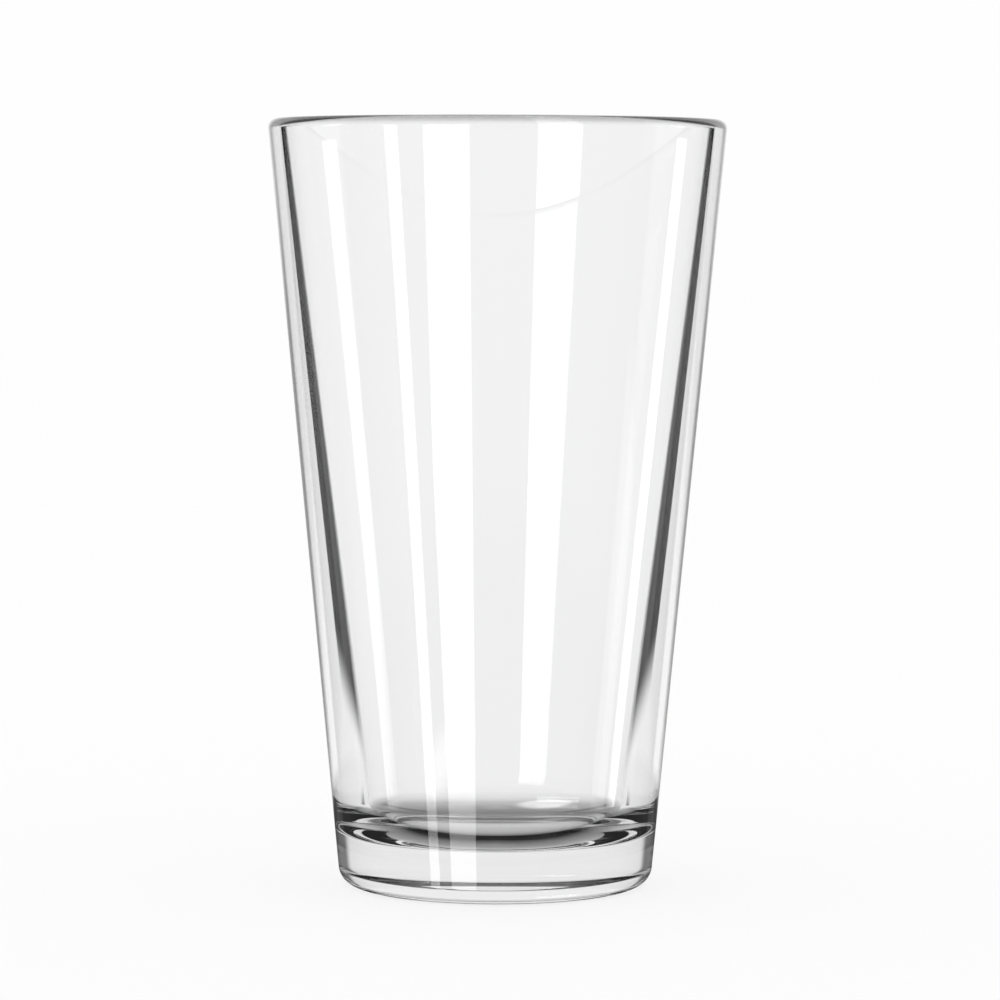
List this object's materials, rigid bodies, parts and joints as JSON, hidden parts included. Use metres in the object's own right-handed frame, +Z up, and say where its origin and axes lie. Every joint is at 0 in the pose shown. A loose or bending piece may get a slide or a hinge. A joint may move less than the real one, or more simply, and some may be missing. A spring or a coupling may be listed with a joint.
{
  "type": "mixing glass",
  "caption": "Plain conical bar glass in clear heavy glass, with a rounded rim, a thick solid base and a bearing ring underneath, for mixing and serving drinks.",
  "frame": {"origin": "middle of the foot, on the plane that the bearing ring stands on", "axes": "+Z up along the glass's own axis, from the foot to the rim; X and Y are alike"},
  "size_m": [0.0888, 0.0888, 0.1492],
  "materials": {
    "clear_glass": "polished"
  },
  "bodies": {
    "root": {"glass_body": "clear_glass"}
  },
  "joints": []
}
